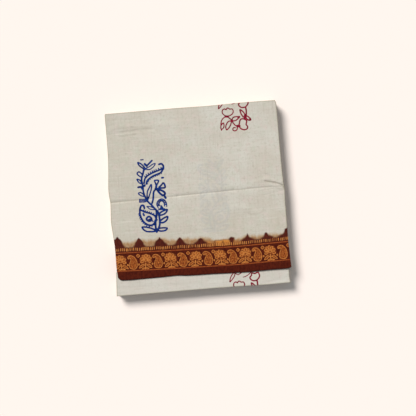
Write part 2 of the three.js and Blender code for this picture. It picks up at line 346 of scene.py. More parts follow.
# The underside. It is the outer ply where it lies on the table, the same off-white plain-weave cotton,
# pressed flat between the two folds. Another blue sprig and parts of two crimson ones are printed on it.
THREAD = 0.00038
ROLL = 0.55
TUCK = 1.6
LEFT_SIDE = -139.0
RIGHT_SIDE = 140.5
EASE_FROM = 95.0
CREASES = [
    # from x, from w, to x, to w, width, depth: w is the distance from the selvedge along the cloth
    (-141, 125.2, -30, 127.9, 3.2, 0.75),
    (-30, 127.9, 60, 130.4, 3.2, 0.7),
    (60, 130.4, 124, 131.6, 3.2, 0.4),
    (-142, 125.1, -30, 127.9, 0.9, 0.42),
    (-30, 127.9, 60, 130.4, 0.9, 0.4),
    (60, 130.4, 124, 131.6, 0.9, 0.3),
    (-142, 122.6, -30, 125.3, 1.1, -0.22),
    (-30, 125.3, 60, 127.8, 1.1, -0.2),
    (-142, 133.5, -116, 131.8, 1.1, 0.25),
    (112, 145.0, 138, 137.5, 2.4, -0.4),
    (112, 141.2, 128, 137.8, 0.9, 0.45),
    (128, 137.8, 140, 132.2, 1.0, 0.8),
    (140, 132.2, 143, 126.5, 1.0, 0.7),
    (120, 134.5, 139, 127.0, 2.6, -0.5),
    (109, 151.0, 139, 147.0, 2.0, 0.2),
    (96, 140.5, 126, 147.5, 3.0, -0.2),
    (-120, 247.4, -10, 243.4, 6, -0.4),
    (-139, 236.0, -62, 239.0, 2.4, 0.32),
    (-134, 249.5, -112, 250.4, 1.8, 0.22),
    (-128, 243.5, -96, 246.5, 1.6, -0.22),
    (-118, 230.0, -92, 232.0, 1.8, 0.18),
    (60, 103.4, 78, 99.0, 5, -0.4),
    (78, 99.0, 100, 88.4, 6.5, -0.45),
    (70, 96.5, 98, 84.0, 3.0, 0.22),
    (112, 161.4, 138, 133.4, 6, -0.5),
    (104, 158.0, 131, 139.0, 2.4, 0.25),
    (121, 168.0, 140, 143.0, 3.0, 0.22),
    (-126, 112.5, -104, 114.6, 4, -0.3),
    (-20, 205.0, 46, 214.0, 9, 0.28),
    (-128, 182.0, -84, 176.0, 8, 0.22),
    (100, 214.0, 137, 199.0, 7, 0.26),
    (-40, 63.0, 28, 71.0, 8, 0.2),
    (-126, 258.0, -96, 256.6, 1.6, 0.2),
    (-60, 251.0, -28, 252.4, 2.0, 0.16),
    (108, 118.0, 140, 123.6, 1.1, 0.24),
    (100, 124.4, 127, 127.6, 1.0, 0.2),
    (116, 152.0, 141, 133.0, 1.4, 0.2),
    (-140, 98.0, -118, 93.0, 2.2, 0.2),
    (-30, 160.0, 4, 150.0, 3.0, 0.14),
    (-150, 416.0, 96, 421.0, 2.6, 0.5),
    (-60, 500.0, 30, 488.0, 6, 0.3),
    (40, 352.0, 118, 366.0, 5, 0.3),
    (-118, 344.0, -66, 352.0, 7, 0.25),
    (-150, 578.0, -36, 575.0, 2.4, 0.2),
    (8, 580.0, 92, 574.0, 4.0, 0.25),
    (96, 567.0, 139, 575.0, 3.4, 0.3),
    (118, 571.0, 141, 569.0, 1.0, 0.22),
    (124, 580.0, 141, 583.0, 1.1, 0.2),
]
# Painted shade: the cloth's colour is darkened along the store crease and the pinch, as well as their grooves
# in the relief.
STORE_CREASE = [(-145, 125.0), (-110, 125.8), (-30, 127.9), (30, 129.6), (87, 131.2), (124, 131.6),
                (141, 131.2)]
# Painted shade: thin darker lines along some of the creases laid in the relief.
CREASE_SHADE_LINES = [
    [(-139, 237), (-126, 236), (-112, 238.6), (-96, 239), (-84, 241.4), (-66, 241)],
    [(-126, 243.4), (-116, 246.4), (-104, 247), (-95, 244.6)],
    [(-116, 231.6), (-104, 230.6), (-92, 233)],
    [(72, 90.2), (79, 91.7), (86, 89.2), (92, 88.3), (100, 90.2), (110, 95.2)],
]
PINCH = [(112, 141.2), (128, 137.8), (136, 134.8), (140, 132.2), (143, 126.5)]
BLUE_SPRIG = [
    ("line", 2.1, [(-13, 104), (-15, 97), (-18, 88), (-17, 77), (-16, 64), (-11, 52), (-4, 44), (2, 36)]),
    ("line", 2.1, [(4, 71), (0, 66), (-1, 60), (-2, 54), (-4, 48)]),
    ("line", 2.2, [(2, 36), (1.5, 26), (-0.5, 17), (-1, 9), (0, 1)]),
    ("line", 2.2, [(4, 35), (6, 25), (6, 14), (3.5, 7), (0, 1)]),
    ("fill", 0, [(-18.2, 77), (-16, 79.4), (-12.4, 79), (-12.2, 76.4), (-15.4, 75)]),
    ("loop", 1.7, [(-22, 115.5), (-17, 113), (-12, 107), (-11, 103.5), (-15, 106), (-20, 110.5)]),
    ("loop", 1.3, [(-10.5, 104.5), (-4, 107.4), (1.5, 110.8), (6, 111.6), (2.6, 106.6), (-4, 102.8)]),
    ("line", 2.4, [(-11, 112.5), (-9.5, 110.5), (-8, 109)]),
    ("line", 2.0, [(-8, 109), (-4, 112.5), (1, 117)]),
    ("line", 1.4, [(-17, 119.5), (-13, 119.5)]),
    ("loop", 1.6, [(-24.5, 97.3), (-21.1, 100.3), (-16.1, 95), (-19, 92)]),
    ("loop", 1.5, [(-25.4, 88.7), (-21, 86.8), (-18.1, 81.7), (-21.4, 82), (-24.3, 85.4)]),
    ("fill", 0, [(-25.9, 76.4), (-22.4, 77.6), (-17.6, 76.4), (-18.6, 70.4), (-21, 74), (-24.6, 73.8)]),
    ("line", 1.6, [(-25, 75.4), (-21, 75.6), (-18.2, 72.6)]),
    ("loop", 1.4, [(-25, 65.5), (-21, 66.7), (-15.9, 62), (-16.6, 60.2), (-21.3, 61.9)]),
    ("line", 1.2, [(-23.6, 56), (-17.1, 55.2), (-11.2, 54.2)]),
    ("line", 1.2, [(-23.6, 53.6), (-16.2, 53), (-11.3, 53)]),
    ("line", 1.3, [(-23.7, 56), (-23.9, 51.2)]),
    ("line", 1.3, [(-23.9, 51.2), (-19.5, 51.2), (-15.6, 51), (-12, 52)]),
    ("line", 1.2, [(-14, 54.6), (-11.6, 53.4)]),
    ("line", 2.1, [(-10.7, 80), (-8.7, 85.4), (-1.3, 90.7), (6.4, 93.8), (13, 96), (16.5, 99.6),
                   (18, 104)]),
    ("line", 2.0, [(-14.4, 81.4), (-12.8, 87.7), (-8.8, 92.4), (-0.9, 96.6), (6.8, 99.2), (16.4, 102.3)]),
    ("teeth", 1.3, [(-12.8, 87.7), (-8.8, 92.4), (-0.9, 96.6), (6.8, 99.2), (16.4, 102.3)]),
    ("nicks", 1.2, [(16.5, 99.6), (13, 96), (6.4, 93.8), (-1.3, 90.7), (-8.7, 85.4), (-10.7, 80)]),
    ("line", 2.2, [(18.5, 102), (18.7, 107), (16, 110.5), (12, 110)]),
    ("line", 2.2, [(15, 88), (17, 88)]),
    ("loop", 1.8, [(3, 84.5), (9, 84), (7.5, 79.5), (5, 77), (4, 80)]),
    ("line", 2.4, [(5.5, 78), (4, 71)]),
    ("loop", 2.0, [(9, 72), (15, 71.5), (19, 72), (18.5, 77), (16.5, 79.5), (13, 76)]),
    ("loop", 2.4, [(6, 69), (12, 68), (17.5, 64), (17.5, 60.5), (13, 60)]),
    ("line", 3.2, [(4, 71), (8, 69)]),
    ("line", 2.6, [(17.5, 57), (18.5, 55)]),
    ("loop", 1.6, [(-11, 54), (-10.5, 66), (-7, 73), (-3, 78.5), (-3.5, 71), (-7, 62)]),
    ("line", 1.2, [(-13, 43.4), (-7.6, 42.8), (-2.6, 40.4), (2, 38)]),
    ("line", 1.2, [(-12.6, 43), (-8, 38.8), (-2, 37.4), (2, 37.4)]),
    ("line", 1.3, [(5.4, 40), (3.4, 46), (6.4, 51.6), (11.3, 54), (16.2, 52), (19, 46.8), (19.3, 41)]),
    ("line", 1.3, [(8.6, 42.6), (7.2, 46), (8.8, 49.4), (11.4, 50.6), (14.2, 49), (15.6, 45.8),
                   (15.8, 42)]),
    ("teeth", 1.5, [(19.3, 41), (19, 46.8), (16.2, 52), (11.3, 54), (6.4, 51.6), (3.4, 46), (5.4, 40)]),
    ("fill", 0, [(8, 37.5), (9, 41), (11, 44), (13.5, 40), (14.5, 37)]),
    ("line", 2.0, [(6.5, 37.5), (15.5, 37)]),
    ("loop", 2.0, [(5, 28.5), (11, 33.5), (19.5, 36), (17, 31), (11, 28)]),
    ("loop", 2.0, [(6, 17), (12, 22), (19.5, 24.5), (17, 18.5), (11, 15.5)]),
    ("loop", 1.9, [(-23, 10.5), (-14, 9.5), (-6, 6.5), (-0.5, 3), (-9, 2.2), (-18, 4)]),
    ("loop", 1.9, [(0.5, 4.5), (7, 7), (17, 6), (14, 2.6), (7, 2)]),
    ("line", 2.2, [(-17, 41), (-18, 45), (-21.5, 45.5), (-24, 41), (-25, 33), (-23.5, 26), (-20, 19),
                   (-14, 14), (-8, 12.5), (-3, 15), (-1, 20)]),
    ("nicks", 1.4, [(-1, 20), (-3, 15), (-8, 12.5), (-14, 14), (-20, 19), (-23.5, 26), (-25, 33)]),
    ("nicks", 1.3, [(-23, 38.5), (-17, 35), (-9, 32), (-3, 29), (0, 25), (0.5, 19)]),
    ("line", 2.0, [(-23, 38.5), (-17, 35), (-9, 32), (-3, 29), (0, 25), (0.5, 19)]),
    ("line", 2.2, [(-19.5, 32), (-18.5, 29.5)]),
    ("loop", 2.2, [(-15, 23), (-11.5, 27), (-7.5, 24.5), (-7, 21), (-11, 19.5)]),
    ("fill", 0, [(-9, 23.5), (-5.5, 21), (-3, 17.5), (-8, 19), (-11.5, 20.5), (-12, 23)]),
]
CRIMSON_SPRIG = [
    ("loop", 1.5, [(-27, 38), (-26, 43), (-23.5, 48), (-19, 53), (-18, 50), (-19.5, 46), (-23, 41.5)]),
    ("line", 1.2, [(-5, 44), (-1, 45), (3, 47), (7, 50), (9, 52)]),
    ("line", 1.2, [(-17, 51), (-13, 48.5), (-9, 50.5), (-4, 53.5)]),
    ("loop", 1.6, [(-21.5, 32), (-20, 36), (-17, 37), (-15, 35.5), (-13, 38), (-10.5, 37.5), (-9, 36.2),
                   (-5, 36), (-3.5, 32), (-5.5, 28), (-10, 25.5), (-15, 25), (-19.5, 28)]),
    ("line", 3.0, [(-16.5, 24.8), (-13, 24.3)]),
    ("line", 1.6, [(-15, 24.5), (-19.5, 23), (-23.5, 18.5), (-25, 12), (-25.5, 6), (-24.5, 3)]),
    ("line", 1.6, [(-24.5, 11.5), (-21, 14.5), (-20, 11), (-21, 7), (-24, 4.5)]),
    ("line", 1.7, [(-14, 24.5), (-11, 22), (-8, 19), (-6.5, 17)]),
    ("line", 3.2, [(-7, 18), (-6, 16.5)]),
    ("loop", 1.7, [(-16.5, 3), (-17.5, 8), (-15.5, 13), (-12, 16.5), (-8, 16), (-9.5, 10.5), (-12.5, 6)]),
    ("loop", 1.7, [(-6.5, 17), (-5, 21.5), (-1, 23), (5, 22.5), (3, 19.5), (-1, 17)]),
    ("line", 3.0, [(4, 21), (5.5, 22.3)]),
    ("line", 1.7, [(-6, 15), (-3, 10.5), (0, 8), (4, 7.5)]),
    ("line", 3.6, [(1.5, 7.8), (4.5, 7.5)]),
    ("line", 1.6, [(1, 6), (0.5, 2.5), (-2, 0.6), (-5.3, 0.8), (-6.4, 3.2), (-5, 5.6), (-2, 5.4)]),
    ("loop", 1.9, [(4, 7), (5, 12), (6.5, 17), (9.5, 19), (13.5, 18), (17, 15), (15.7, 9.5), (17.8, 6),
                   (17, 2.5), (12.5, 1), (8, 2.5)]),
    ("line", 3.8, [(15, 20.5), (15.3, 23.5)]),
    ("line", 2.1, [(15.3, 22), (17, 25), (17.6, 31), (17, 37.5)]),
    ("loop", 1.9, [(7.5, 33.8), (12, 30.5), (15, 25), (12.5, 21.5), (9, 27)]),
    ("loop", 1.9, [(17, 23.2), (21, 20.8), (23.8, 16.3), (20.5, 16), (17, 19)]),
    ("line", 3.0, [(22.8, 17.6), (23.2, 16.6)]),
    ("loop", 1.9, [(16.5, 37.7), (11, 37.2), (7, 39.8), (6, 43.2), (8.6, 46), (9.5, 49.7), (14.5, 48.6),
                   (19, 50.4), (21, 47.8), (21.6, 44), (19.6, 40.4)]),
    ("line", 1.7, [(-9, 50.5), (-3, 57), (0, 65), (0.5, 75), (-2, 86), (-6, 96), (-5, 106)]),
    ("loop", 1.7, [(0, 64), (6, 66), (12, 71), (15, 76), (8, 73), (3, 69)]),
    ("loop", 1.7, [(-1, 70), (-8, 71), (-15, 76), (-19, 82), (-11, 79), (-4, 75)]),
    ("loop", 1.7, [(-2, 84), (4, 85), (11, 90), (13, 96), (6, 93), (1, 89)]),
    ("loop", 1.7, [(-5, 92), (-12, 92), (-18, 97), (-21, 103), (-13, 100), (-8, 96)]),
    ("loop", 1.8, [(-5, 105), (-10, 108), (-10, 113), (-6, 112), (-4, 117), (-1, 112.5), (3, 113),
                   (2, 108)]),
]
FAR_AT = FAR_FOLD - SELVEDGE
UNDER_AT = FAR_AT + PLIES
NEAR_AT = UNDER_AT + FAR_FOLD - NEAR_FOLD
BLUE_AT = [(-69.0, 71.1), (-70.5, 389.0)]
CRIMSON_AT = [(73.0, 225.4), (70.0, NEAR_AT - 29.4)]
GHOST_AT = (24.5, 64.5)
BLUE_STROKE = 1.5
CRIMSON_STROKE = 1.22
TOOTH_PITCH = 2.9
TOOTH_LONG = {"teeth": 3.1, "nicks": 2.2}
FAR_RUN_FROM = 80.0


def relief(x, along):
    """How far the cloth stands out from its pressed form: its creases and its slight unevenness."""
    out = np.zeros(x.shape)
    for x0, w0, x1, w1, width, depth in CREASES:
        run_x, run_w = x1 - x0, w1 - w0
        share = ((x - x0) * run_x + (along - w0) * run_w) / (run_x ** 2 + run_w ** 2)
        near = np.clip(share, 0, 1)
        away = np.hypot(x - x0 - near * run_x, along - w0 - near * run_w)
        out -= depth * np.exp(-((away / width) ** 2)) * (0.82 + 0.18 * np.sin(x / 9.0 + 3 * width))
    swell = 0.16 * np.sin(x / 23 + along / 51) + 0.12 * np.sin(x / 41 - along / 19 + 1.3)
    swell += 0.08 * np.sin(x / 7.3 + along / 5.1 + 2 * np.sin(x / 31)) * np.sin(along / 27 + x / 60)
    out += swell
    resting = (along > UNDER_AT - 0.5) & (along < NEAR_AT - 0.5)
    return np.where(resting, -0.35 * np.clip(-out, 0, 1), out)


def spaced(start, end, coarse, fine=None, runs=()):
    """Places from start to end, closer together along some runs."""
    places = [start]
    while places[-1] < end:
        close = any(low <= places[-1] <= high for low, high in runs)
        places.append(places[-1] + (fine if close else coarse))
    places = np.array(places)
    return start + (places - start) * (end - start) / (places[-1] - start)


def smooth_run(points, closed):
    """A smooth run of points through some given ones."""
    placed = np.array(points, float)
    count = len(placed)
    run = []
    for i in range(count if closed else count - 1):
        if closed:
            a, b, c, d = placed[i - 1], placed[i], placed[(i + 1) % count], placed[(i + 2) % count]
        else:
            a, b, c, d = placed[max(i - 1, 0)], placed[i], placed[i + 1], placed[min(i + 2, count - 1)]
        for t in (0.0, 0.2, 0.4, 0.6, 0.8):
            square, cube = t * t, t * t * t
            run.append(0.5 * (2 * b + (c - a) * t + (2 * a - 5 * b + 4 * c - d) * square
                              + (3 * b - a - 3 * c + d) * cube))
    run.append(run[0] if closed else placed[-1])
    return np.array(run)


def from_line(x, y, run, thickness):
    """How far points lie outside a line of some thickness."""
    best = np.full(x.shape, 99.0)
    for (ax, ay), (bx, by) in zip(run[:-1], run[1:]):
        run_x, run_y = bx - ax, by - ay
        square = max(run_x ** 2 + run_y ** 2, 1e-9)
        t = np.clip(((x - ax) * run_x + (y - ay) * run_y) / square, 0, 1)
        best = np.minimum(best, np.hypot(x - ax - t * run_x, y - ay - t * run_y))
    return best - thickness / 2


def from_patch(x, y, run):
    """How far points lie outside a filled patch, and below nought inside it."""
    away = from_line(x, y, run, 0)
    inside = np.zeros(x.shape, bool)
    for (ax, ay), (bx, by) in zip(run[:-1], run[1:]):
        if ay == by:
            continue
        inside ^= ((ay > y) != (by > y)) & (x < ax + (y - ay) * (bx - ax) / (by - ay))
    return np.where(inside, -away, away)


def from_marks(x, y, marks, stroke):
    """How far points lie outside a block print's marks."""
    best = np.full(x.shape, 9.0)
    for kind, carved, points in marks:
        thickness = carved * stroke
        run = smooth_run(points, kind in ("loop", "fill"))
        low, high = run.min(axis=0) - 4, run.max(axis=0) + 4
        near = (x > low[0]) & (x < high[0]) & (y > low[1]) & (y < high[1])
        if not near.any():
            continue
        at_x, at_y = x[near], y[near]
        if kind == "fill":
            away = from_patch(at_x, at_y, run)
        elif kind in TOOTH_LONG:
            away = np.full(at_x.shape, 9.0)
            gone = 0.0
            for i in range(1, len(run) - 1):
                gone += np.hypot(*(run[i] - run[i - 1]))
                if gone < TOOTH_PITCH:
                    continue
                gone = 0.0
                forward = run[i + 1] - run[i - 1]
                outward = np.array([-forward[1], forward[0]]) / np.hypot(*forward)
                leaning = outward + 0.25 * forward / np.hypot(*forward)
                tooth = np.array([run[i], run[i] + TOOTH_LONG[kind] * leaning])
                away = np.minimum(away, from_line(at_x, at_y, tooth, thickness))
        else:
            away = from_line(at_x, at_y, run, thickness)
        best[near] = np.minimum(best[near], away)
    return best


def print_marks(mesh, x, along):
    """Keeps how much of each print's ink lies at each point: from nought to one, a half at its edge."""
    def inked(marks, stroke, spots, mirrored=False, softness=3.0):
        best = np.full(x.shape, 9.0)
        for at_x, at_along in spots:
            off = (at_x - x) if mirrored else (x - at_x)
            best = np.minimum(best, from_marks(off, along - at_along, marks, stroke))
        return np.clip(0.5 - best / softness, 0, 1)
    keep_number(mesh, "blue", inked(BLUE_SPRIG, BLUE_STROKE, BLUE_AT))
    keep_number(mesh, "crimson", inked(CRIMSON_SPRIG, CRIMSON_STROKE, CRIMSON_AT))
    keep_number(mesh, "ghost", inked(BLUE_SPRIG, BLUE_STROKE, [GHOST_AT], True, 6.0))
    # Painted shade along the store crease and the pinch.
    crease_shade = np.clip(1 - from_line(x, along, np.array(STORE_CREASE, float), 0.5) / 1.1, 0, 1) * 0.55
    crease_shade = np.maximum(crease_shade, np.clip(1 - from_line(x, along, np.array(PINCH, float), 1.0) / 1.1, 0, 1))
    # Painted shade along the smaller creases, joined with the crease shade.
    crease_line_shade = np.full(x.shape, 9.0)
    for run in CREASE_SHADE_LINES:
        crease_line_shade = np.minimum(crease_line_shade, from_line(x, along, np.array(run, float), 0.8))
    crease_line_shade = 0.3 * np.clip(1 - crease_line_shade / 1.6, 0, 1) * (0.7 + 0.3 * np.sin(x / 3.1))
    keep_number(mesh, "crease_shade", np.maximum(crease_shade, crease_line_shade) * (along < FAR_AT))
    left = 0.55 * np.exp(-(((x + 112) / 62) ** 2))
    low = 0.8 * np.exp(-(((along - 60) / 42) ** 2)) * (0.7 + 0.3 * np.tanh(x / 60))
    keep_number(mesh, "dull", np.clip(left + low, 0, 1) * (along < FAR_AT))


def turned_edges(inner, first, last):
    """A sheet's rows or columns: its face, and its rolled-under edges at either end or both."""
    turn = np.linspace(0, math.pi, 8)[1:]
    place, roll, tuck, end = inner, np.zeros(len(inner)), np.zeros(len(inner)), np.zeros(len(inner))
    if first:
        place = np.concatenate([np.full(8, inner[0]), place])
        roll = np.concatenate([[math.pi], turn[::-1], roll])
        tuck = np.concatenate([[TUCK], np.zeros(7), tuck])
        end = np.concatenate([-np.ones(8), end])
    if last:
        place = np.concatenate([place, np.full(8, inner[-1])])
        roll = np.concatenate([roll, turn, [math.pi]])
        tuck = np.concatenate([tuck, np.zeros(7), [TUCK]])
        end = np.concatenate([end, np.ones(8)])
    return place, roll, tuck, end


def from_edges(place, end, which):
    """How far each point lies from the turned edges at its sheet's ends."""
    away = np.full(len(which), 99.0)
    if end[0]:
        away = np.minimum(away, place[which] - place[0])
    if end[-1]:
        away = np.minimum(away, place[-1] - place[which])
    return away


def to_sides(sides, x, y):
    """Eases a sheet's columns out to where its sides really run, with slightly rounded far corners."""
    out_left = np.clip((-x - EASE_FROM) / (-LEFT_SIDE - ROLL - EASE_FROM), 0, 1) ** 2
    out_right = np.clip((x - EASE_FROM) / (RIGHT_SIDE - ROLL - EASE_FROM), 0, 1) ** 2
    rounded = 1.6 * np.clip((y - FAR_FOLD + 2.5) / 2.5, 0, 1) ** 2
    left = side_at(sides, y, "left") - LEFT_SIDE + rounded
    right = side_at(sides, y, "right") - RIGHT_SIDE - rounded
    return x + left * out_left + right * out_right


def keep_cloth_place(mesh, across, along):
    """Gives each point its place on the flat cloth, in metres, as the mesh's UV map."""
    corner = np.empty(len(mesh.loops), dtype=int)
    mesh.loops.foreach_get("vertex_index", corner)
    place = np.stack([across[corner], along[corner]], axis=1) * MM
    mesh.uv_layers.new(name="cloth").data.foreach_set("uv", place.ravel())


def lay_sheet(name, sides, columns, rows, along_at, height, facing, skew):
    """A stretch of the outer ply as a mesh, with its edges turned under and its prints kept on it."""
    place, roll_x, tuck_x, side = columns
    level, roll_y, tuck_y, end = rows
    mesh = new_grid(name, len(place), len(level))
    column, row = read_grid(mesh, len(place), len(level))
    y = level[row]
    far_share = np.clip((y - FAR_RUN_FROM) / (FAR_FOLD - FAR_RUN_FROM), 0, 1)
    y = y + fold_run(FAR_RUN, place[column]) * far_share
    x = to_sides(sides, place[column], y)
    way = np.sign(along_at(1.0) - along_at(0.0))
    along = along_at(y) + way * end[row] * ROLL * roll_y[row]
    roll = np.maximum(roll_x[column], roll_y[row])
    fall = ROLL * (1 - np.cos(roll))
    out = relief(x, along) * np.clip(1 - fall / (2 * ROLL), 0, 1) - fall
    turned_x = x + side[column] * (ROLL * np.sin(roll_x[column]) - tuck_x[column])
    turned_y = y + end[row] * (ROLL * np.sin(roll_y[row]) - tuck_y[row]) + skew(x, y)
    put_points(mesh, turned_x, turned_y, np.maximum(height(y) + facing * out, 0.0))
    cloth_x = x + side[column] * (ROLL * roll_x[column] + tuck_x[column])
    keep_cloth_place(mesh, cloth_x, along + way * end[row] * tuck_y[row])
    print_marks(mesh, x, along)
    # Painted shade: a yellow-brown darkening along the turned-under edges.
    keep_number(mesh, "rolled_edge_shade", np.clip(1 - from_edges(place, side, column) / 1.3, 0, 1)
                + np.clip(1 - from_edges(level, end, row) / 1.3, 0, 1))
    return mesh, x, y


def near_skew(x, y):
    """The near fold runs a little out of square."""
    return fold_run(NEAR_RUN, x) * np.clip((TUCK_END - y) / (TUCK_END - NEAR_FOLD), 0, 1)


def under_along(y):
    return UNDER_AT + FAR_FOLD - y


def on_the_table(y):
    return 0.0 * y


def weave(tree, cloth):
    """Plain weave: its height, and how much of a slub or a thicker thread lies at a point."""
    parts = add_node(tree, "ShaderNodeSeparateXYZ", {0: cloth})
    waves = []
    for part in (parts.outputs[0], parts.outputs[1]):
        waves.append(sums(tree, "SINE", sums(tree, "MULTIPLY", part, math.pi / THREAD)))
    threads = sums(tree, "MULTIPLY", waves[0], waves[1])
    weft = speckle(tree, cloth, 700.0, 2.0, (0.035, 1.0, 1.0))
    warp = speckle(tree, cloth, 700.0, 2.0, (1.0, 0.03, 1.0))
    slubs = sums(tree, "MAXIMUM", ease(tree, weft, 0.54, 0.72), ease(tree, warp, 0.56, 0.74))
    height = sums(tree, "ADD", sums(tree, "MULTIPLY", threads, 0.3), sums(tree, "MULTIPLY", slubs, 0.7))
    return height, slubs


def veil(tree, ground, amount, most, tone):
    """Lays a thin layer of one tone over the ground, by at most a share."""
    return over(tree, sums(tree, "MULTIPLY", amount, most), ground, colour(*tone))


def off_white(tree, cloth, slubs):
    """The ground: unbleached cotton, its threads a little uneven in colour both ways."""
    cloud = speckle(tree, cloth, 22.0, 2.0)
    ground = over(tree, ease(tree, cloud, 0.3, 0.7), colour(200, 190, 175), colour(207, 201, 188))
    ground = veil(tree, ground, kept(tree, "dull"), 0.5, (186, 175, 154))
    tint = speckle(tree, cloth, 85.0, 3.0)
    pale_weft = speckle(tree, cloth, 330.0, 2.0, (0.06, 1.0, 1.0))
    dark_warp = speckle(tree, cloth, 420.0, 2.0, (1.0, 0.05, 1.0))
    patch = speckle(tree, cloth, 260.0, 3.0)
    grain = speckle(tree, cloth, 1100.0, 2.0)
    for pattern, low, high, most, tone in (
        (tint, 0.52, 0.7, 0.75, (207, 192, 180)),
        (tint, 0.48, 0.3, 0.6, (195, 193, 175)),
        (pale_weft, 0.5, 0.75, 0.4, (214, 207, 194)),
        (dark_warp, 0.5, 0.78, 0.35, (180, 169, 152)),
        (patch, 0.5, 0.72, 0.55, (182, 172, 155)),
        (grain, 0.52, 0.8, 0.4, (168, 157, 140)),
    ):
        ground = veil(tree, ground, ease(tree, pattern, low, high), most, tone)
    # Painted light: the near fold's face is made paler.
    ground = veil(tree, ground, kept(tree, "near_fold_light"), 0.32, (219, 211, 200))
    return veil(tree, ground, slubs, 0.25, (174, 163, 147))


def ink_over(tree, ground, cloth, name, dense, thin, scale):
    """A block print's ink, ragged at its edges and patchy inside them."""
    rough = sums(tree, "SUBTRACT", speckle(tree, cloth, 900.0, 2.0), 0.5)
    edge = sums(tree, "ADD", kept(tree, name), sums(tree, "MULTIPLY", rough, 0.42))
    patchy = ease(tree, speckle(tree, cloth, scale, 3.0), 0.36, 0.66)
    ink = over(tree, patchy, dense, thin)
    return over(tree, ease(tree, edge, 0.44, 0.6), ground, ink)


def finish_cloth(tree, face, height, strength, sheen, gloss):
    surface = tree.nodes["Principled BSDF"]
    tree.links.new(face, surface.inputs["Base Color"])
    surface.inputs["Roughness"].default_value = 0.9
    surface.inputs["Sheen Weight"].default_value = sheen
    surface.inputs["Sheen Roughness"].default_value = 0.5
    surface.inputs["Specular IOR Level"].default_value = gloss
    bump = add_node(tree, "ShaderNodeBump", {"Height": height, "Strength": strength, "Distance": 0.00015})
    tree.links.new(bump.outputs[0], surface.inputs["Normal"])


def printed_cotton_finish():
    finish, tree = new_finish("printed_cotton")
    cloth = add_node(tree, "ShaderNodeUVMap", uv_map="cloth").outputs[0]
    height, slubs = weave(tree, cloth)
    face = off_white(tree, cloth, slubs)
    face = veil(tree, face, ease(tree, kept(tree, "ghost"), 0.2, 0.8), 0.22, (156, 160, 165))
    # painted shade along the creases
    face = veil(tree, face, kept(tree, "crease_shade"), 0.56, (132, 120, 102))
    # painted shade along the rolled edges
    face = veil(tree, face, kept(tree, "rolled_edge_shade"), 0.5, (146, 136, 102))
    face = ink_over(tree, face, cloth, "blue", colour(0, 26, 86), colour(0, 46, 120), 220.0)
    face = ink_over(tree, face, cloth, "crimson", colour(108, 0, 27), colour(142, 20, 46), 160.0)
    finish_cloth(tree, face, height, 0.6, 0.06, 0.2)
    return finish


cotton_finish = printed_cotton_finish()
under_across = spaced(LEFT_SIDE + ROLL, RIGHT_SIDE - ROLL, 1.8, 0.95, [(-98, -48), (46, 98)])
UNDER_SET_BACK = 0.4
under_level = spaced(NEAR_FOLD + UNDER_SET_BACK + ROLL, FAR_FOLD - UNDER_SET_BACK - ROLL, 1.8, 1.0,
                     [(-148, 30), (70, 148)])
under_mesh = lay_sheet("underside_cloth", LOWER_SIDES, turned_edges(under_across, True, True),
                       turned_edges(under_level, True, True), under_along, on_the_table, -1, near_skew)[0]
underside_cloth = show(under_mesh)
underside_cloth.data.materials.append(cotton_finish)
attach(underside_cloth, "root")
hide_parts("bottom_stretch")


# The near fold. The panel's inner fold stands 26 mm past the selvedges, with half as many plies as the
# rest, so its face slopes down from under the border. Part of a crimson sprig is printed across it.
def strip_along(y):
    return NEAR_AT + y - NEAR_FOLD


def strip_height(y):
    share = np.clip((TUCK_END - y) / (TUCK_END - NEAR_FOLD - PLIES), 0, 1)
    return STRIP_AT_TUCK + (STRIP_AT_FOLD - STRIP_AT_TUCK) * share ** 1.6


strip_across = spaced(LEFT_SIDE + ROLL, RIGHT_SIDE - ROLL, 1.5, 0.72, [(40, 96)])
strip_level = spaced(NEAR_FOLD + ROLL, TUCK_END, 0.8)
strip_mesh = lay_sheet("near_fold_cloth", LOWER_SIDES, turned_edges(strip_across, True, True),
                       turned_edges(strip_level, True, False), strip_along, strip_height, 1, near_skew)[0]
# Painted light on the near fold's face, which slopes away from the key light.
keep_number(strip_mesh, "near_fold_light", np.ones(len(strip_mesh.vertices)))
near_fold_cloth = show(strip_mesh)
near_fold_cloth.data.materials.append(cotton_finish)
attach(near_fold_cloth, "root")
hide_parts("under_stretch")


